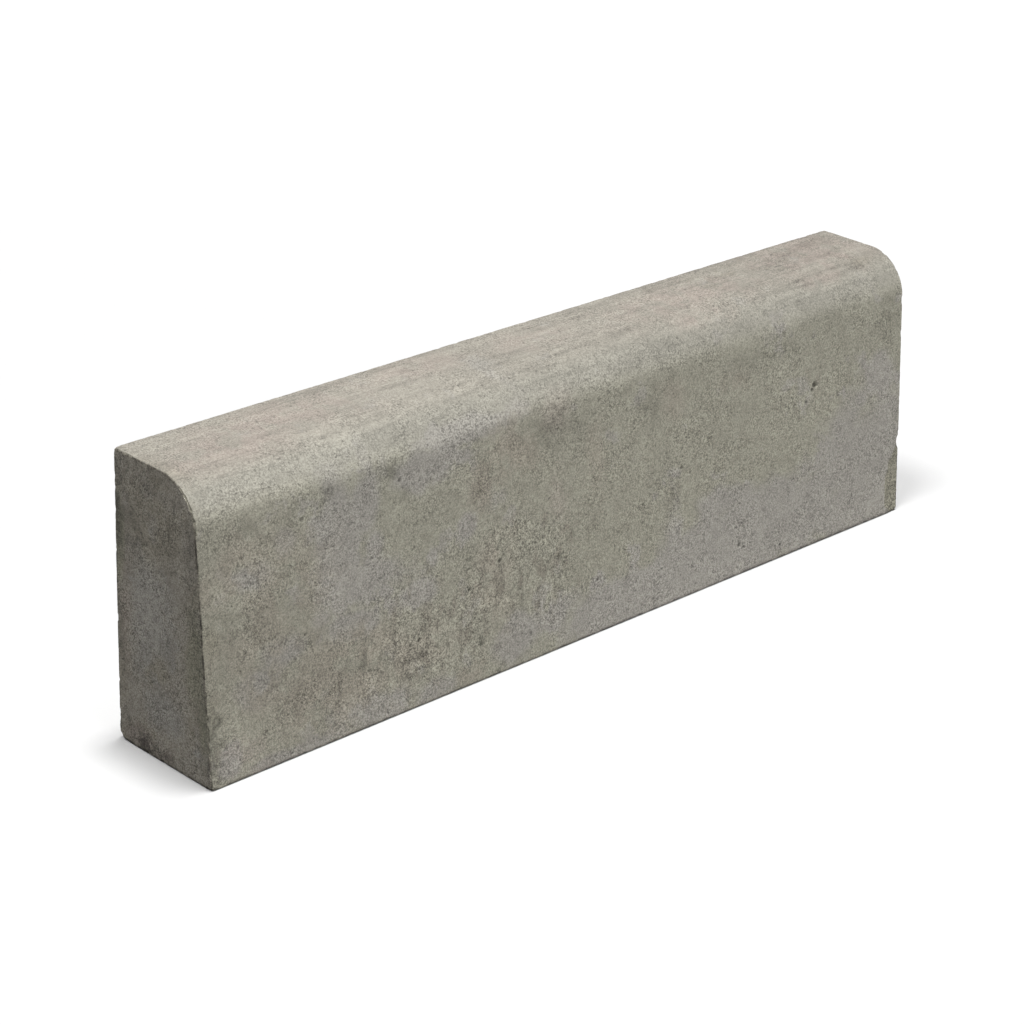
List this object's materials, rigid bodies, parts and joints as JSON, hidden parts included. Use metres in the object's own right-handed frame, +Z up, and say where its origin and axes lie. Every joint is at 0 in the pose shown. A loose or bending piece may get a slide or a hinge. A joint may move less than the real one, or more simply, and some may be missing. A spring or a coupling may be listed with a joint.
{
  "type": "concrete kerb stone",
  "caption": "Straight cast-concrete kerb stone with a slightly battered road face, a rounded front crown, a flat top and plain square ends.",
  "frame": {"origin": "middle of the bedding face, at the centre of the part's box", "axes": "+X along the length towards the end that the picture shows further away, +Y towards the plain upright back, -Y towards the battered road face, +Z up from the bedding face to the flat top"},
  "size_m": [1, 0.1398, 0.3],
  "materials": {
    "concrete": "matte"
  },
  "bodies": {
    "root": {"kerb_stone": "concrete"}
  },
  "joints": []
}
